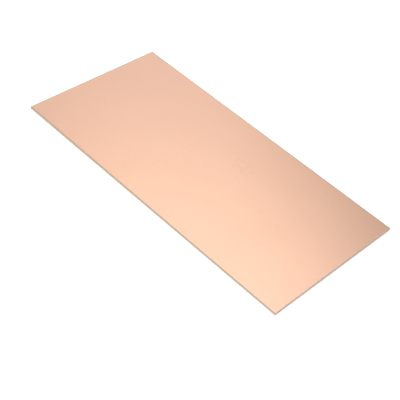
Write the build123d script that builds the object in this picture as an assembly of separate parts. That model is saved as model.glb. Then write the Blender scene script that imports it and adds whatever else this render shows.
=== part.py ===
from build123d import *
import os

# Copper clad board: a sheet of glass-cloth laminate with copper foil bonded all over its upper face.
# The board lies flat with the foil up. +X runs along the length, +Y across the width and +Z up, and
# the origin is the centre of the underside. All sizes are millimetres.

# The sheet as it is sold
board_length = 200.0
board_width = 100.0
laminate_thickness = 1.465
foil_thickness = 0.035

# The sheared edge, from the top down: the blade bends the rim over with its foil, cuts a straight
# land, and the rest of the thickness breaks and stands back towards the underside
rollover_width = 0.6
rollover_depth = 0.07
cut_land_height = 0.5
fracture_setback = 0.08

# Heights on the cut face, worked out from the sizes above
rim_height = laminate_thickness - rollover_depth
land_foot_height = rim_height - cut_land_height


def outline(height, inset):
    """The board's rectangle at a height, with all four sides moved in by an inset."""
    rectangle = Rectangle(board_length - 2 * inset, board_width - 2 * inset)
    return Plane.XY.offset(height) * rectangle


def slab(low, low_inset, high, high_inset):
    """A block between two heights, with straight sides from the lower inset to the upper one."""
    return loft([outline(low, low_inset), outline(high, high_inset)], ruled=True)


def pressed_top(height_above_laminate):
    """The upper part of the sheet from the land up, its top raised above the laminate's by a height.

    The rim is bent down all round, so its slope keeps the same width and depth at any raise.
    """
    rim = rim_height + height_above_laminate
    top = laminate_thickness + height_above_laminate
    straight = slab(land_foot_height, 0, rim, 0)
    bent = slab(rim, 0, top, rollover_width)
    return straight + bent


def make_laminate():
    """The glass-cloth sheet: broken lower face, straight cut land and bent rim in one piece."""
    broken = slab(0, fracture_setback, land_foot_height, 0)
    return broken + pressed_top(0)


def make_copper_foil(laminate):
    """The foil: one thickness of copper that follows the flat top and the bent rim to the cut face."""
    return pressed_top(foil_thickness) - laminate


laminate = make_laminate()
copper_foil = make_copper_foil(laminate)

os.makedirs("parts", exist_ok=True)
for name, piece in (("laminate", laminate), ("copper_foil", copper_foil)):
    export_step(piece, f"parts/{name}.step")
    print(name, "volume", round(piece.volume, 2), "mm3")
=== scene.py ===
# %% [markdown]
# A copper clad board, the raw stock that printed circuits are etched from: a thin sheet of glass cloth
# and cured resin with a skin of copper foil pressed onto its upper face, sheared to size. There are
# only two pieces, so the likeness lies in three things: the satin copper and how it takes the light,
# the rim that the blade bends over, and the rough cut face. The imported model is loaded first. It is
# the fixed frame, in metres, that everything below fits into.

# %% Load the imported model
import math
import bpy
import numpy as np
from mathutils import Matrix, Vector


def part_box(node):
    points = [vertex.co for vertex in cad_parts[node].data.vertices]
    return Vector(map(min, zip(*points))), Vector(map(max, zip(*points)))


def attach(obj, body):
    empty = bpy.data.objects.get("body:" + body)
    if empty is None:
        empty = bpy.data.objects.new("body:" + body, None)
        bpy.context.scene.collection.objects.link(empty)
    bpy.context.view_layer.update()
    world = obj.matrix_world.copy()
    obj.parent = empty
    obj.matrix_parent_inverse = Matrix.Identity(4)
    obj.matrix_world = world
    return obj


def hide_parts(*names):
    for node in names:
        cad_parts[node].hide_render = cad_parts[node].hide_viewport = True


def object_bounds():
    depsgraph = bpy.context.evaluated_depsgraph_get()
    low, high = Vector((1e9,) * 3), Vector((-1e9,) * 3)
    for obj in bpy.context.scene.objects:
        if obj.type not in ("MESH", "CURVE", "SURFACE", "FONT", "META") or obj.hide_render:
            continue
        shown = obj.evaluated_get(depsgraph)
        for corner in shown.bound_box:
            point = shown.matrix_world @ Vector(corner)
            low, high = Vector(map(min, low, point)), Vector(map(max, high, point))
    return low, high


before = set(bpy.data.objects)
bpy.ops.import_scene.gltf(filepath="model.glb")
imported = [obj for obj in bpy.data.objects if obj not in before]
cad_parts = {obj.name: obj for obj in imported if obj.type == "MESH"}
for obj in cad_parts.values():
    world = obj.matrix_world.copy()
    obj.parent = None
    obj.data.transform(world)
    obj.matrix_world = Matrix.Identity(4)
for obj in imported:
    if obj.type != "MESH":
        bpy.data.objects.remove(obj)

# %% [markdown]
# Shapes below are worked out in millimetres, because the edge's details are hundredths of one, and
# turned into metres where they enter a mesh. The board's sizes aren't typed in again. They are read
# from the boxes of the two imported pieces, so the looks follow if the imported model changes.

# %% The sizes of the board, in millimetres
MM = 0.001
cad_low, cad_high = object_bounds()
LENGTH, WIDTH, HEIGHT = [side / MM for side in cad_high - cad_low]
SHEET_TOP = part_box("laminate")[1].z / MM
FOIL_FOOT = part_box("copper_foil")[0].z / MM
FOIL_THICKNESS = HEIGHT - SHEET_TOP
BEND_DEPTH = SHEET_TOP - FOIL_FOOT
print("board", round(LENGTH, 3), "x", round(WIDTH, 3), "x", round(HEIGHT, 3), "mm")
print("foil", round(FOIL_THICKNESS, 4), "mm, bent down", round(BEND_DEPTH, 4), "mm at the rim")

# %% [markdown]
# Every ring of both pieces is the board's outline, moved in by an inset, at a height. So each piece
# is a surface of two parameters: the way round the outline, and the row of the edge's profile. The
# outline is worked out once, as shares of the half length and half width from -1 to 1. It starts at
# the front left corner and runs anticlockwise, with a point every 0.3 mm, which is fine enough for
# the ragged parts of the cut.

# %% The outline, as shares of the half sides
POINT_SPACING = 0.3
along = round(LENGTH / POINT_SPACING)
across = round(WIDTH / POINT_SPACING)
share_along = np.linspace(-1, 1, along, endpoint=False)
share_across = np.linspace(-1, 1, across, endpoint=False)
share_x = np.concatenate([share_along, np.ones(across), -share_along, -np.ones(across)])
share_y = np.concatenate([-np.ones(along), share_across, np.ones(along), -share_across])
points_round = len(share_x)
print("the outline has", points_round, "points")

# %% [markdown]
# A real cut isn't the same all the way along. Its raggedness is a random wavy line, and since the
# outline closes on itself, the line has to close too. A sum of cosines does that if each one fits a
# whole number of waves round the board.

# %% Random waves round the outline
PERIMETER = 2 * (LENGTH + WIDTH)
WAVES = 48
SEED = 11
turn = 2 * np.pi * np.arange(points_round) / points_round
rng = np.random.default_rng(SEED)


def ripple(shortest, longest):
    """A random number for each point of the outline, with a mean of 0 and a spread of 1.

    It is a sum of cosines of the turn round the outline. Each has a whole number of waves, drawn so
    that a wave is between the shortest and the longest in mm, and starts at a random place.
    """
    fewest = round(PERIMETER / longest)
    most = round(PERIMETER / shortest)
    counts = rng.integers(fewest, most + 1, WAVES)
    starts = rng.uniform(0, 2 * np.pi, WAVES)
    return np.cos(np.outer(turn, counts) + starts).sum(axis=1) * math.sqrt(2 / WAVES)


# %% [markdown]
# The rings become a mesh in one go. Neighbouring points of neighbouring rings make quads, and the
# first and last rings are closed by long strips laid straight across the board, since the middle of
# both faces is dead flat. The strips share the rings' own points, so the piece is one closed skin.

# %% From rings to a closed mesh
SHARP_ANGLE = 38.0


def flat_cap():
    """The faces inside a ring, facing up: strips across the board, and one many-sided face each end.

    Point k of the front side lies opposite point 2 * along + across - k of the back side.
    """
    front = np.arange(1, along)
    back = 2 * along + across - front
    strips = np.stack([front[:-1], front[1:], back[1:], back[:-1]], axis=-1)
    right_end = np.arange(along - 1, along + across + 2)
    left_end = np.arange(2 * along + across - 1, points_round + 2) % points_round
    return strips.tolist() + [right_end.tolist(), left_end.tolist()]


def ring_mesh(name, rows):
    """A closed mesh from rows of rings, each row an inset and a height, numbers or one per point.

    Point j of row i is at x = share_x[j] * (half length - inset[i, j]), y = share_y[j] * (half width
    - inset[i, j]) and z = height[i, j]. The rows run from the underside outwards, up the cut face
    and back in over the top. Then each quad's corners, taken first along the outline and then
    to the next row, face outwards.
    """
    inset = np.stack([np.broadcast_to(row[0], points_round) for row in rows])
    height = np.stack([np.broadcast_to(row[1], points_round) for row in rows])
    x = share_x * (LENGTH / 2 - inset)
    y = share_y * (WIDTH / 2 - inset)
    points = np.stack([x, y, height], axis=-1).reshape(-1, 3) * MM
    here = np.arange(len(rows) * points_round).reshape(len(rows), points_round)
    after = np.roll(here, -1, axis=1)
    quads = np.stack([here[:-1], after[:-1], after[1:], here[1:]], axis=-1).reshape(-1, 4)
    last_ring = (len(rows) - 1) * points_round
    bottom = [face[::-1] for face in flat_cap()]
    top = [[last_ring + point for point in face] for face in flat_cap()]
    mesh = bpy.data.meshes.new(name)
    mesh.from_pydata(points, [], quads.tolist() + bottom + top)
    mesh.shade_smooth()
    mesh.set_sharp_from_angle(angle=math.radians(SHARP_ANGLE))
    return mesh


def add_piece(mesh, node, slot, *materials):
    """The mesh as an object that rides on the board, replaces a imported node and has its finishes."""
    piece = bpy.data.objects.new(mesh.name, mesh)
    bpy.context.scene.collection.objects.link(piece)
    for material in materials:
        mesh.materials.append(material)
    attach(piece, "root")
    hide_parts(node)
    triangles = sum(len(face.vertices) - 2 for face in mesh.polygons)
    print(mesh.name, "has", triangles, "triangles in", [material.name for material in materials])


# %% [markdown]
# A sheared edge has four zones, one under the other. The blade first presses the rim over, then cuts
# a straight land, and then the rest of the thickness breaks through and chips at the bottom. The
# bend is a parabola: it leaves the flat top without a kink and is steepest at the cut. Its width
# wanders a little along the edge, as the blade's gap and the cloth under it do.

# %% The bent rim
BEND_WIDTH = 0.6
BEND_SPREAD = 0.05
BEND_WAVES = (12.0, 90.0)
BEND_RANGE = (0.48, 0.72)
RIM_INSETS = (1.0, 0.75, 0.6, 0.46, 0.34, 0.23, 0.14, 0.07)
bend_width = np.clip(BEND_WIDTH + BEND_SPREAD * ripple(*BEND_WAVES), *BEND_RANGE)
print("the bend is", bend_width.min().round(2), "to", bend_width.max().round(2), "mm wide")


def bent_top(inset):
    """Height of the laminate's top at an inset.

    It is the flat height, less the bend's depth times the square of 1 - inset / width wherever the
    inset is less than the bend's width.
    """
    way_out = np.clip(1 - inset / bend_width, 0, 1)
    return SHEET_TOP - BEND_DEPTH * way_out ** 2


# %% [markdown]
# The foil is a skin of one thickness over that shape, so its rows are the same rim twice, once for
# its underside and once for its upper side. Between them is the cut end. Copper is soft, and the
# blade drags it down over the resin, so the end has a thin lip of uneven length hanging in front of
# the cut face.

# %% The copper foil
LIP_THICKNESS = 0.012
LIP_LENGTH = 0.035
LIP_SPREAD = 0.018
LIP_WAVES = (0.9, 9.0)
LIP_RANGE = (0.006, 0.09)
ARRIS = 0.008


def foil_rows():
    """The foil's rings: underside outwards, down behind the lip, up the cut end, back over the top."""
    lip_length = np.clip(LIP_LENGTH + LIP_SPREAD * ripple(*LIP_WAVES), *LIP_RANGE)
    lip_foot = FOIL_FOOT - lip_length
    cut_top = FOIL_FOOT + FOIL_THICKNESS
    underside = [(inset, bent_top(inset)) for inset in RIM_INSETS]
    lip = [
        (LIP_THICKNESS, bent_top(LIP_THICKNESS)),
        (LIP_THICKNESS, lip_foot + 0.3 * lip_length),
        (0.6 * LIP_THICKNESS, lip_foot),
        (0.0, lip_foot + 0.2 * lip_length),
        (0.0, FOIL_FOOT),
        (0.0, cut_top - ARRIS),
        (0.3 * ARRIS, cut_top - 0.3 * ARRIS),
    ]
    upper = [(inset, bent_top(inset) + FOIL_THICKNESS) for inset in (ARRIS,) + RIM_INSETS[::-1]]
    return underside + lip + upper


foil_mesh = ring_mesh("satin_copper_foil", foil_rows())
print("foil rings", len(foil_mesh.vertices) // points_round)

# %% [markdown]
# The laminate is the same profile without the foil. Its land stands just behind the copper's lip.
# Below the land the glass cloth breaks ply by ply, so each of the eight plies gets a ragged line of
# its own, and the rows between two plies step from one line to the next.

# %% The broken face, ply by ply
LAND_INSET = 0.015
LAND_HEIGHT = 0.5
LAND_FOOT = FOIL_FOOT - LAND_HEIGHT
FRACTURE_SETBACK = 0.08
FRACTURE_ROWS = 15
FRACTURE_SHARES = (0.13, 0.95)
PLIES = 8
PLY = SHEET_TOP / PLIES
PLY_WAVES = (0.9, 7.0)
FIBRE_WAVES = (0.7, 1.6)
FIBRE_SHARE = 0.5
TORN_DEPTH = 0.016
TORN_MEAN = 1.4
TORN_MOST = 4.0
print("each ply is", round(PLY, 3), "mm thick, and the land's foot is", round(LAND_FOOT, 3), "mm up")


def torn_rows(land_foot):
    """The broken face: rings that stand back more the lower they are, plus a ragged relief.

    The relief is the torn depth times the sum of a mean, the ply's own ripple and a share of a finer
    ripple for the fibres. A ring's height is its share of the height of the land's foot.
    """
    ply_lines = [ripple(*PLY_WAVES) for _ in range(PLIES)]
    rows = []
    for share in np.linspace(*FRACTURE_SHARES, FRACTURE_ROWS):
        ply_line = ply_lines[int(share * LAND_FOOT / PLY)]
        ragged = TORN_MEAN + ply_line + FIBRE_SHARE * ripple(*FIBRE_WAVES)
        relief = TORN_DEPTH * np.clip(ragged, 0, TORN_MOST)
        rows.append((LAND_INSET + FRACTURE_SETBACK * (1 - share) + relief, share * land_foot))
    return rows


# %% [markdown]
# At the bottom, crumbs of resin have broken out of the arris. The rings of the underside come first,
# then three that shape the arris. Each of those has its own distance further in, share of the chips'
# depth, and height. The land's foot isn't straight either, because the cut turns into the break
# sooner in some places than in others.

# %% The glass-cloth laminate
UNDERSIDE_INSETS = (1.0, 0.6, 0.32)
ARRIS_ROWS = ((0.012, 1.0, 0.0), (0.0, 0.5, 0.025), (0.0, 0.1, 0.07))
CHIP_DEPTH = 0.045
DEEPEST_CHIP = 0.16
CHIP_WAVES = (0.8, 6.0)
CHIP_GROUP_WAVES = (5.0, 40.0)
CHIP_GROUP_SHARE = 0.6
CHIP_LEVEL = 0.7
LAND_FOOT_SPREAD = 0.03
LAND_FOOT_WAVES = (1.2, 14.0)
UNDER_FOIL = 0.001


def chip_insets():
    """How deep the bottom arris is chipped: short ripples in groups, where they rise over a level."""
    rises = ripple(*CHIP_WAVES) + CHIP_GROUP_SHARE * ripple(*CHIP_GROUP_WAVES) - CHIP_LEVEL
    return np.clip(CHIP_DEPTH * rises, 0, DEEPEST_CHIP)


def laminate_rows():
    """The laminate's rings: underside, chipped arris, broken face, cut land, top under the foil."""
    chips = chip_insets()
    foot = LAND_INSET + FRACTURE_SETBACK + TORN_DEPTH
    land_foot = LAND_FOOT + LAND_FOOT_SPREAD * ripple(*LAND_FOOT_WAVES)
    underside = [(inset, 0.0) for inset in UNDERSIDE_INSETS]
    arris = [(foot + inwards + share * chips, height) for inwards, share, height in ARRIS_ROWS]
    land_heights = (land_foot + 0.02, LAND_FOOT + 0.2, FOIL_FOOT - 0.1)
    land = [(LAND_INSET, height) for height in land_heights]
    top = [(inset, bent_top(inset) - UNDER_FOIL) for inset in (LAND_INSET,) + RIM_INSETS[::-1]]
    return underside + arris + torn_rows(land_foot) + land + top


laminate_mesh = ring_mesh("glass_cloth_laminate", laminate_rows())
print("laminate rings", len(laminate_mesh.vertices) // points_round)

# %% [markdown]
# A shader is a graph of nodes, and its arithmetic could be built by hand, one Math node at a time.
# That hides the formula. Here a small class wraps a node's output, and Python's operators add the
# Math nodes, so that a mask reads as the formula that it is.

# %% The wire, which does a shader's arithmetic
class Wire:
    """A node's output. Each operator adds one Math node and gives back that node's output."""

    def __init__(self, graph, socket):
        self.graph = graph
        self.socket = socket

    def maths(self, operation, *values):
        """A Math node of one operation on this wire and up to two more values or wires."""
        sockets = dict(enumerate((self,) + values))
        return self.graph.node("ShaderNodeMath", {"operation": operation}, sockets)

    def __add__(self, other):
        return self.maths("ADD", other)

    __radd__ = __add__

    def __mul__(self, other):
        return self.maths("MULTIPLY", other)

    __rmul__ = __mul__

    def __sub__(self, other):
        return self.maths("SUBTRACT", other)

    def __rsub__(self, other):
        return self * -1 + other

    def __abs__(self):
        return self.maths("ABSOLUTE")

    def step(self, low, high):
        """0 below low, 1 above high and a soft S between them. With low above high it falls."""
        sockets = {"Value": self, "From Min": low, "From Max": high}
        return self.graph.node("ShaderNodeMapRange", {"interpolation_type": "SMOOTHSTEP"}, sockets)


# %% [markdown]
# The nodes themselves are added by a second class, which stands for the node tree of one material or
# of the world. One method makes a node of any type. The others are short names for what the finishes
# below all need: a mix of two colours, the place on the board in millimetres, a soft noise, a relief
# and the shader that ends the tree.

# %% The graph, which makes the nodes
class Graph:
    """The nodes of one material or of the world."""

    def __init__(self, owner):
        owner.use_nodes = True
        self.tree = owner.node_tree
        self.tree.nodes.clear()

    def node(self, kind, settings=None, sockets=None, output=0):
        """One node of a type: its settings are set first, then its sockets get values or wires."""
        made = self.tree.nodes.new(kind)
        for name, value in (settings or {}).items():
            setattr(made, name, value)
        for name, value in (sockets or {}).items():
            if isinstance(value, Wire):
                self.tree.links.new(value.socket, made.inputs[name])
            else:
                made.inputs[name].default_value = value
        return Wire(self, made.outputs[output]) if made.outputs else made

    def outputs(self, wire):
        """All outputs of a wire's node, by name."""
        return {socket.name: Wire(self, socket) for socket in wire.socket.node.outputs}

    def mix(self, amount, first, second):
        """A colour that goes from the first to the second as the amount goes from 0 to 1.

        The node repeats its names for plain numbers, vectors and colours, so the sockets go by number.
        """
        sockets = {0: amount, 6: first, 7: second}
        return self.node("ShaderNodeMix", {"data_type": "RGBA"}, sockets, output=2)

    def scaled(self, vector, factors):
        """A vector with each of its three numbers multiplied."""
        return self.node("ShaderNodeVectorMath", {"operation": "MULTIPLY"}, {0: vector, 1: factors})

    def place(self):
        """Where a point of the piece lies, in millimetres: as a vector, and as its x, y and z."""
        metres = self.outputs(self.node("ShaderNodeTexCoord"))["Object"]
        vector = self.scaled(metres, (1 / MM,) * 3)
        split = self.outputs(self.node("ShaderNodeSeparateXYZ", {}, {0: vector}))
        return vector, split["X"], split["Y"], split["Z"]

    def noise(self, place, per_mm, detail=2.0):
        """Soft random cloud, 0 to 1 about a mean of a half, with its cells per mm in x, y and z."""
        sockets = {"Vector": self.scaled(place, per_mm), "Scale": 1.0, "Detail": detail}
        return self.node("ShaderNodeTexNoise", {}, sockets)

    def bumped(self, height_mm):
        """The surface's direction when its face has a relief of a height in mm."""
        return self.node("ShaderNodeBump", {}, {"Distance": MM, "Height": height_mm})

    def surface(self, **sockets):
        """The glossy or matt shader that ends the material, with its sockets by name."""
        named = {name.replace("_", " ").title(): value for name, value in sockets.items()}
        shader = self.node("ShaderNodeBsdfPrincipled", {}, named)
        self.node("ShaderNodeOutputMaterial", {}, {"Surface": shader})


def new_finish(name):
    """A new material and the empty graph of its nodes."""
    material = bpy.data.materials.new(name)
    return material, Graph(material)


def node_count(material):
    """How many nodes a material has, as words to print."""
    return f"{material.name} has {len(material.node_tree.nodes)} nodes"


# %% [markdown]
# The cloth under the foil is a plain weave. Its yarns lie 0.58 mm apart one way and 0.81 mm the
# other, and where one yarn goes over another there is a small hump. The product of two sines, one
# along the length and one across, has its humps and hollows in just that checkerboard.

# %% The weave, shared by both pieces
YARN_ALONG = 0.58
YARN_ACROSS = 0.81
print("yarns counted along the board", round(LENGTH / YARN_ALONG), "across", round(WIDTH / YARN_ACROSS))


def weave_humps(x, y):
    """The cloth's checkerboard of humps, -1 to 1: sine of x over one yarn, times sine of y."""
    waves_x = (x * (math.pi / YARN_ALONG)).maths("SINE")
    waves_y = (y * (math.pi / YARN_ACROSS)).maths("SINE")
    return waves_x * waves_y


def from_edge(x, y):
    """How far a point lies from the nearest edge, in mm: the lesser distance, to an end or a side."""
    from_ends = LENGTH / 2 - abs(x)
    from_sides = WIDTH / 2 - abs(y)
    return from_ends.maths("MINIMUM", from_sides)


# %% [markdown]
# The foil's outer side is the smooth side of plated copper, lightly scrubbed before it is packed. It
# shines like satin: no mirror image, but a soft glow that moves over the sheet. What keeps it from
# looking like paint is small: clouds and mottling a few percent strong, scrub lines finer than a
# hair, the print of the cloth through the thin foil, a few pin-head specks of oxide, one faint smudge
# where it was touched, and the rim: pale where the blade's bend has stretched it, and dark along its
# last fifth of a millimetre. That dark line is partly a bruise from the blade and partly painted
# shade, which stands in for the dark reflection of the bent rim.

# %% The copper's colours, specks and smudge
COPPER = (0.920, 0.594, 0.463, 1.0)
COPPER_WARM = (0.898, 0.561, 0.432, 1.0)
COPPER_OXIDE = (0.640, 0.400, 0.300, 1.0)
COPPER_RIM = (0.790, 0.580, 0.487, 1.0)
# The dark rim line's colour: partly a bruise, partly painted shade for the bent rim's dark reflection.
COPPER_BRUISE_AND_SHADE = (0.380, 0.305, 0.260, 1.0)
SPECKS_PER_MM = 0.11
SPECK_RADIUS = 0.16
SPECK_BLUR = 0.06
SPECKLESS_CELLS = 0.45
SMUDGE_PLACE = (14.0, 18.0)
SMUDGE_RADIUS = 8.5
SMUDGE_CORE = 0.3
BLOTCHES_PER_MM = (0.36, 0.36, 0.0)
BLOTCH_RANGE = (0.40, 0.68)


def oxide_specks(graph, place):
    """Round specks, one at most in each cell of a scattered grid, and none in nearly half the cells.

    The distance to the cell's point is compared with a radius drawn from the cell's own colour. Both
    are shares of a cell's size.
    """
    settings = {"voronoi_dimensions": "2D"}
    cells = graph.node("ShaderNodeTexVoronoi", settings, {"Vector": place, "Scale": SPECKS_PER_MM})
    cell = graph.outputs(cells)
    drawn = graph.outputs(graph.node("ShaderNodeSeparateColor", {}, {0: cell["Color"]}))
    radius = (drawn["Red"] - SPECKLESS_CELLS) * SPECK_RADIUS
    return (cell["Distance"] - radius).step(0.0, -SPECK_BLUR) * drawn["Green"]


def touched_smudge(graph, place, x, y):
    """Blotches of noise, kept only within a round patch: the squared distance from its middle fades."""
    beside = x - SMUDGE_PLACE[0]
    beyond = y - SMUDGE_PLACE[1]
    reach = SMUDGE_RADIUS ** 2
    patch = (beside * beside + beyond * beyond).step(reach, SMUDGE_CORE * reach)
    blotches = graph.noise(place, BLOTCHES_PER_MM).step(*BLOTCH_RANGE)
    return patch * blotches


# %% [markdown]
# The finish is laid on in layers: the plated colour with its clouds, then the specks and the smudge,
# and last the pale bend and the dark rim line, partly bruise and partly painted shade, which go over
# everything. The roughness stays near one value, and the relief is less than a thousandth of a
# millimetre, so the copper mirrors the room softly and evenly.

# %% Make the copper and put it on the foil
CLOUDS_PER_MM = (0.025, 0.025, 0.0)
MOTTLES_PER_MM = (0.35, 0.35, 0.0)
SCRUBS_PER_MM = (0.04, 6.0, 0.0)
WARM_SHARE = 0.4
WARM_SPREAD = 0.9
SPECK_STRENGTH = 0.35
SMUDGE_STRENGTH = 0.12
PALE_FROM_EDGE = (0.95, 0.4)
BRUISE_AND_SHADE_FROM_EDGE = (0.24, 0.09)
BRUISE_AND_SHADE_STRENGTH = 0.85
COPPER_ROUGHNESS = 0.29
ROUGHER_CLOUDS = 0.02
ROUGHER_MOTTLES = 0.01
ROUGHER_SCRUBS = 0.015
ROUGHER_SPECKS = 0.05
SCRUB_DEPTH = 0.0004
PRINT_DEPTH = 0.0003


def make_copper():
    """Satin copper with clouds, mottling, scrub lines, cloth print, specks, smudge, and a dark rim line
    that is partly bruise, partly painted shade.
    """
    material, graph = new_finish("satin_copper")
    place, x, y, _ = graph.place()
    clouds = graph.noise(place, CLOUDS_PER_MM, detail=3.0) - 0.5
    mottle = graph.noise(place, MOTTLES_PER_MM) - 0.5
    scrub = graph.noise(place, SCRUBS_PER_MM) - 0.5
    specks = oxide_specks(graph, place)
    smudge = touched_smudge(graph, place, x, y)
    inwards = from_edge(x, y)
    warm = WARM_SHARE + clouds * WARM_SPREAD + mottle * WARM_SPREAD
    colour = graph.mix(warm, COPPER, COPPER_WARM)
    oxide = specks * SPECK_STRENGTH + smudge * SMUDGE_STRENGTH
    colour = graph.mix(oxide, colour, COPPER_OXIDE)
    colour = graph.mix(inwards.step(*PALE_FROM_EDGE), colour, COPPER_RIM)
    # Painted shade, partly a real bruise: a dark line along the rim's last fifth of a millimetre.
    bruise_and_shade = inwards.step(*BRUISE_AND_SHADE_FROM_EDGE) * BRUISE_AND_SHADE_STRENGTH
    colour = graph.mix(bruise_and_shade, colour, COPPER_BRUISE_AND_SHADE)
    rough = COPPER_ROUGHNESS + clouds * ROUGHER_CLOUDS + mottle * ROUGHER_MOTTLES
    rough = rough + scrub * ROUGHER_SCRUBS + specks * ROUGHER_SPECKS
    relief = scrub * SCRUB_DEPTH + weave_humps(x, y) * PRINT_DEPTH
    graph.surface(base_color=colour, metallic=1.0, roughness=rough, normal=graph.bumped(relief))
    return material


copper_finish = make_copper()
print(node_count(copper_finish))
add_piece(foil_mesh, "copper_foil", "copper", copper_finish)

# %% [markdown]
# The cut face shows how the sheet is built: in each ply some yarns are cut across, as pale lens-shaped
# ends, and the others run along the cut as a pale wavy band, with darker clear resin around them. The
# land is burnished by the blade and marked by fine upright drag lines, and the broken part below it is
# rougher and a little paler, because broken fibres scatter the light. The two short sides look into
# the ends of more yarns than the long ones. They are also painted darker and browner: painted shade.

# %% The cut yarns
PLY_SHIFT = 0.37
CRIMP = 0.4
END_NARROWNESS = 1.5
END_FLATNESS = 5.0
END_OUTLINE = (1.15, 0.6)
BAND_OUTLINE = (0.5, 0.2)
BAND_STRENGTH = 0.75


def yarn_sections(x, y, z, on_ends):
    """Where the cut face shows glass: cut yarn ends and long yarns, 0 in resin and 1 in glass.

    On a ply, a yarn is at a whole number of pitches along the cut. The ends are ellipses in along
    and height, moved up and down in turn by a cosine, and the long yarn is a band on the other side
    of that cosine. Each ply is shifted along, so that its yarns don't stand over the next one's.
    """
    along_cut = x * (1 - on_ends) * (1 / YARN_ALONG) + y * on_ends * (1 / YARN_ACROSS)
    height = z * (1 / PLY)
    ply = height.maths("FLOOR")
    along_cut = along_cut + ply * PLY_SHIFT
    up = (height - ply) * 2 - 1
    side = along_cut.maths("FRACT") * 2 - 1
    crimp = (along_cut * math.pi).maths("COSINE") * CRIMP
    end_up = up - crimp
    ends = (side * side * END_NARROWNESS + end_up * end_up * END_FLATNESS).step(*END_OUTLINE)
    band = abs(up + crimp).step(*BAND_OUTLINE)
    return ends.maths("MAXIMUM", band * BAND_STRENGTH)


# %% [markdown]
# The colour starts from resin and glass, and three masks change it: the broken zone gets paler
# patches, the land gets upright lines of resin wiped over the yarns, and the short sides get painted
# shade.
# The same masks give the roughness and the relief, so that what looks burnished is smooth as well.

# %% The finish of the cut face
RESIN_CUT = (0.550, 0.385, 0.270, 1.0)
YARN_CUT = (0.770, 0.610, 0.470, 1.0)
YARN_BROKEN = (0.830, 0.700, 0.560, 1.0)
# Painted shade: the darker, browner tone given to the two short sides of the cut face.
PAINTED_END_SHADE = (0.330, 0.200, 0.120, 1.0)
DRAGS_PER_MM = (7.0, 7.0, 0.5)
GRAINS_PER_MM = (14.0, 14.0, 22.0)
PATCHES_PER_MM = (0.35, 0.35, 0.8)
GLASS_PALENESS = 0.8
GRAIN_PALENESS = 0.3
BROKEN_LEAST = 0.15
BROKEN_PATCHES = 0.5
BROKEN_GRAIN = 0.3
WIPED_LEVEL = 0.3
WIPED_STRENGTH = 0.5
PAINTED_END_SHADE_STRENGTH = 0.45
ENDS_BEGIN = 0.5
ENDS_FULL = 0.3
LAND_BLUR = 0.03
CUT_ROUGHNESS = 0.72
LAND_POLISH = 0.24
GRAIN_ROUGHNESS = 0.2
YARN_RELIEF = 0.006
DRAG_RELIEF = 0.006
GRAIN_RELIEF = 0.02


def make_cut_face():
    """Cut glass cloth: burnished land above, broken and paler below."""
    material, graph = new_finish("cut_glass_cloth")
    place, x, y, z = graph.place()
    on_ends = abs(x).step(LENGTH / 2 - ENDS_BEGIN, LENGTH / 2 - ENDS_FULL)
    glass = yarn_sections(x, y, z, on_ends)
    drag = graph.noise(place, DRAGS_PER_MM)
    grain = graph.noise(place, GRAINS_PER_MM)
    patches = graph.noise(place, PATCHES_PER_MM)
    land = z.step(LAND_FOOT - LAND_BLUR, LAND_FOOT + LAND_BLUR)
    pale = glass * GLASS_PALENESS + (grain - 0.5) * GRAIN_PALENESS
    colour = graph.mix(pale, RESIN_CUT, YARN_CUT)
    broken = (1 - land) * (BROKEN_LEAST + patches * BROKEN_PATCHES) * (grain + BROKEN_GRAIN)
    colour = graph.mix(broken, colour, YARN_BROKEN)
    wiped = land * (drag - WIPED_LEVEL) * WIPED_STRENGTH
    colour = graph.mix(wiped, colour, RESIN_CUT)
    # Painted shade: the short sides are darkened and browned.
    colour = graph.mix(on_ends * PAINTED_END_SHADE_STRENGTH, colour, PAINTED_END_SHADE)
    rough = CUT_ROUGHNESS - land * LAND_POLISH + (grain - 0.5) * GRAIN_ROUGHNESS
    burnished = glass * YARN_RELIEF + (drag - 0.5) * land * DRAG_RELIEF
    relief = burnished + (grain - 0.5) * (1 - land) * GRAIN_RELIEF
    graph.surface(base_color=colour, roughness=rough, normal=graph.bumped(relief))
    return material


cut_face_finish = make_cut_face()
print(node_count(cut_face_finish))

# %% [markdown]
# The bare underside is smooth resin over the last layer of cloth. The resin is straw-coloured and
# a little clear, so the yarns show through as a faint checkerboard with some yarns paler for their
# whole length, like linen. A pale halo runs along the edges, where the shear has crazed the resin.

# %% The finish of the underside
STRAW = (0.600, 0.510, 0.330, 1.0)
STRAW_PALE = (0.700, 0.620, 0.440, 1.0)
YARNS_LENGTHWAYS = (0.02, 1.2, 0.0)
YARNS_CROSSWAYS = (1.7, 0.02, 0.0)
HAZES_PER_MM = (0.03, 0.03, 0.0)
HALO_FROM_EDGE = (1.1, 0.2)
PALE_EVERYWHERE = 0.1
PALE_HUMPS = 0.12
PALE_YARNS = 0.9
PALE_HAZE = 0.5
PALE_HALO = 0.35
RESIN_ROUGHNESS = 0.36
ROUGHER_HAZE = 0.08
ROUGHER_HUMPS = 0.03
ROUGHER_HALO = 0.15
HUMP_RELIEF = 0.0022
YARN_LINE_RELIEF = 0.003


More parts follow.
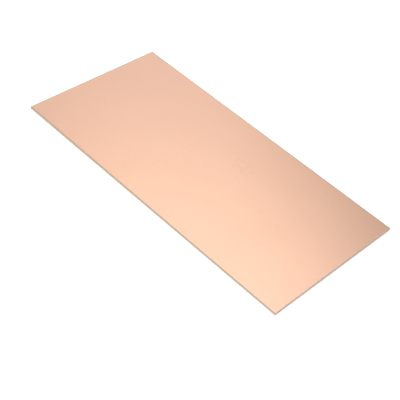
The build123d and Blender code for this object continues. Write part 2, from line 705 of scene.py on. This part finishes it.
def make_underside():
    """Smooth resin over glass cloth, with the weave showing through."""
    material, graph = new_finish("resin_over_cloth")
    place, x, y, _ = graph.place()
    humps = weave_humps(x, y)
    yarns = graph.noise(place, YARNS_CROSSWAYS) + graph.noise(place, YARNS_LENGTHWAYS) - 1.0
    haze = graph.noise(place, HAZES_PER_MM, detail=3.0)
    halo = from_edge(x, y).step(*HALO_FROM_EDGE)
    pale = PALE_EVERYWHERE + humps * PALE_HUMPS + yarns * PALE_YARNS
    pale = pale + haze * PALE_HAZE + halo * PALE_HALO
    colour = graph.mix(pale, STRAW, STRAW_PALE)
    rough = RESIN_ROUGHNESS + haze * ROUGHER_HAZE + humps * ROUGHER_HUMPS + halo * ROUGHER_HALO
    relief = humps * HUMP_RELIEF + yarns * YARN_LINE_RELIEF
    graph.surface(base_color=colour, roughness=rough, normal=graph.bumped(relief))
    return material


underside_finish = make_underside()
print(node_count(underside_finish))

# %% [markdown]
# One piece can carry two finishes: the mesh lists both, and each face holds the number of its own.
# Here the faces of the underside and of the bottom cap get the second one. The underside's lie
# between the first four rings, the last of which is the chipped arris.

# %% Put the finishes on the laminate
UNDERSIDE_RINGS = 4
add_piece(laminate_mesh, "laminate", "laminate", cut_face_finish, underside_finish)
face_numbers = np.arange(len(laminate_mesh.polygons))
ring_faces = len(laminate_mesh.vertices) - points_round
cap_faces = len(flat_cap())
in_underside_rings = face_numbers < (UNDERSIDE_RINGS - 1) * points_round
in_bottom_cap = (face_numbers >= ring_faces) & (face_numbers < ring_faces + cap_faces)
underneath = in_underside_rings | in_bottom_cap
laminate_mesh.polygons.foreach_set("material_index", underneath.astype(np.int32))
print("faces with the underside's finish", int(underneath.sum()))

# %% [markdown]
# The board lies on a wide white table. The camera should see plain white around it, but the table
# still has to keep the board's shadow, so it is matt white paint that takes the light, plus a small
# glow that only the camera and mirror-like rays see. The glow lifts it to white without lighting
# the board.

# %% The white table
TABLE_HALF = 2.0
TABLE_DROP = 0.02 * MM
TABLE_WHITE = (0.86, 0.86, 0.86, 1.0)
TABLE_GLOW = 0.32


def seen_rays(graph):
    """1 for rays from the camera, in reflections and through glass, and 0 for light on its way."""
    rays = graph.outputs(graph.node("ShaderNodeLightPath"))
    seen = rays["Is Camera Ray"].maths("MAXIMUM", rays["Is Glossy Ray"])
    return seen.maths("MAXIMUM", rays["Is Transmission Ray"])


def make_table():
    """A square white sheet just under the board."""
    corners = np.array([(-1, -1, 0), (1, -1, 0), (1, 1, 0), (-1, 1, 0)]) * TABLE_HALF
    mesh = bpy.data.meshes.new("white_table")
    mesh.from_pydata(corners - (0, 0, TABLE_DROP), [], [(0, 1, 2, 3)])
    material, graph = new_finish("white_paint")
    glow = graph.node("ShaderNodeEmission", {}, {"Strength": seen_rays(graph) * TABLE_GLOW})
    matt = graph.node("ShaderNodeBsdfDiffuse", {}, {"Color": TABLE_WHITE})
    both = graph.node("ShaderNodeAddShader", {}, {0: glow, 1: matt})
    graph.node("ShaderNodeOutputMaterial", {}, {"Surface": both})
    mesh.materials.append(material)
    table = bpy.data.objects.new("white_table", mesh)
    bpy.context.scene.collection.objects.link(table)
    print("made", table.name)


make_table()

# %% [markdown]
# Copper has no colour of its own apart from what it mirrors, so its glow is a picture of the room.
# Directions to the things in the room are given as a compass direction and a height.

# %% Directions and aims
def direction(compass, elevation):
    """The unit vector from the board towards a compass direction and height, in degrees.

    Compass 0 is towards the front, -Y, and it grows towards the right, +X.
    """
    c = math.radians(compass)
    e = math.radians(elevation)
    return Vector((math.sin(c) * math.cos(e), -math.cos(c) * math.cos(e), math.sin(e)))


def aimed(place, target, roll=0.0):
    """A turn and a place that look from one point to another, rolled about the line of sight."""
    away = (Vector(place) - Vector(target)).normalized()
    right = Vector((0, 0, 1)).cross(away).normalized()
    up = away.cross(right)
    turned = Matrix((right, up, away)).transposed().to_4x4()
    return Matrix.Translation(place) @ turned @ Matrix.Rotation(roll, 4, "Z")


# %% [markdown]
# The room is white, apart from two soft round areas high on its walls: a small dark one behind the
# board, and a wider, paler one more to the side. Blurred in the satin copper, they give it the slow
# fall-off from the near corner to the far one, and a warm tint where it is darkest. Each is there
# twice, on opposite sides, so the board looks alike from the back. Below them a soft grey band runs
# all the way round, which gives the copper its depth when it is seen at a flat angle. It starts far
# enough above the horizon that a level camera sees plain white, and light on matt things stays even.

# %% The room
ROOM_LIGHT = 0.95
BACK_WALL = {"compass": 201.2, "height": 38.3, "inner": 2.8, "outer": 11.9, "shade": 0.95}
SIDE_WALL = {"compass": 231.3, "height": 49.9, "inner": 6.6, "outer": 14.6, "shade": 0.50}
LOW_BAND_SHADE = 0.55
BAND_RISE = (12.0, 17.0)
BAND_FALL = (20.0, 32.0)
WHITE = (1.0, 1.0, 1.0, 1.0)
WARM_SHADE = (1.0, 0.90, 0.65, 1.0)


def low_band(graph, sight):
    """How much darker the wall is in a band all the way round: its rise times its fall."""
    upward = graph.outputs(graph.node("ShaderNodeSeparateXYZ", {}, {0: sight}))["Z"]
    rise = upward.step(*np.sin(np.radians(BAND_RISE)))
    fall = upward.step(*np.sin(np.radians(BAND_FALL)))
    return rise * (1 - fall) * LOW_BAND_SHADE


def wall_shade(graph, sight, compass, height, inner, outer, shade):
    """How much darker a round area of the wall is: full within the inner angle, none past the outer.

    The angle from its centre is compared by its cosine, which is the dot product of two directions.
    """
    sockets = {0: sight, 1: direction(compass, height)}
    product = graph.node("ShaderNodeVectorMath", {"operation": "DOT_PRODUCT"}, sockets)
    towards = graph.outputs(product)["Value"]
    return towards.step(math.cos(math.radians(outer)), math.cos(math.radians(inner))) * shade


def make_room():
    """The world: even white for lighting, white with darker areas for what is seen or mirrored."""
    world = bpy.data.worlds.new("white_room")
    bpy.context.scene.world = world
    graph = Graph(world)
    sight = graph.outputs(graph.node("ShaderNodeTexCoord"))["Generated"]
    dark = low_band(graph, sight)
    for wall in (BACK_WALL, SIDE_WALL):
        opposite = dict(wall, compass=wall["compass"] + 180)
        dark = wall_shade(graph, sight, **wall) + wall_shade(graph, sight, **opposite) + dark
    seen = seen_rays(graph)
    strength = ROOM_LIGHT + seen * (1 - ROOM_LIGHT - dark)
    colour = graph.mix(seen * dark, WHITE, WARM_SHADE)
    background = graph.node("ShaderNodeBackground", {}, {"Color": colour, "Strength": strength})
    graph.node("ShaderNodeOutputWorld", {}, {"Surface": background})
    print("made", world.name)


make_room()

# %% [markdown]
# One square softbox hangs behind the board, where the camera sees its soft reflection on the near
# half of the copper. Its twin hangs opposite and does the same for a camera behind the board. Their
# cloth is a trace warmer than the white room, which turns the brightest copper towards peach. Their
# power is worked out from the brightness of their faces: radiance times pi times the area.

# %% The two softboxes
BOX_COMPASS = 216.3
BOX_HEIGHT = 55.3
BOX_DISTANCE = 1.4
BOX_SIDE = 0.676
BOX_RADIANCE = 0.727
BOX_TINT = (1.0, 0.985, 0.90)


def make_softbox(name, compass):
    """A square area lamp that hangs in a direction from the board and faces it."""
    data = bpy.data.lights.new(name, "AREA")
    data.shape = "SQUARE"
    data.size = BOX_SIDE
    data.energy = BOX_RADIANCE * math.pi * BOX_SIDE ** 2
    data.color = BOX_TINT
    lamp = bpy.data.objects.new(name, data)
    lamp.matrix_world = aimed(direction(compass, BOX_HEIGHT) * BOX_DISTANCE, (0, 0, 0))
    bpy.context.scene.collection.objects.link(lamp)
    print(name, "at", [round(v, 3) for v in lamp.matrix_world.translation])


make_softbox("softbox_behind", BOX_COMPASS)
make_softbox("softbox_opposite", BOX_COMPASS + 180)

# %% [markdown]
# The camera stands to the front right, halfway up, and is rolled a little, which sets the board
# on its slant in the picture. A long lens from half a metre keeps the far edge nearly as long as the
# near one.

# %% The camera
AIM = Vector((18.03 * MM, -23.11 * MM, HEIGHT * MM))
CAMERA_COMPASS = 36.71
CAMERA_HEIGHT = 43.64
CAMERA_DISTANCE = 0.5437
CAMERA_ROLL = 11.93
CAMERA_LENS = 87.09
CAMERA_SENSOR = 36.0
CAMERA_NEAREST = 0.01

camera_data = bpy.data.cameras.new("camera")
camera_data.sensor_width = CAMERA_SENSOR
camera_data.lens = CAMERA_LENS
camera_data.clip_start = CAMERA_NEAREST
camera = bpy.data.objects.new("camera", camera_data)
camera_place = AIM + direction(CAMERA_COMPASS, CAMERA_HEIGHT) * CAMERA_DISTANCE
camera.matrix_world = aimed(camera_place, AIM, math.radians(CAMERA_ROLL))
bpy.context.scene.collection.objects.link(camera)
bpy.context.scene.camera = camera
print("camera at", [round(v, 4) for v in camera.matrix_world.translation])

bpy.context.scene.view_settings.view_transform = "Standard"
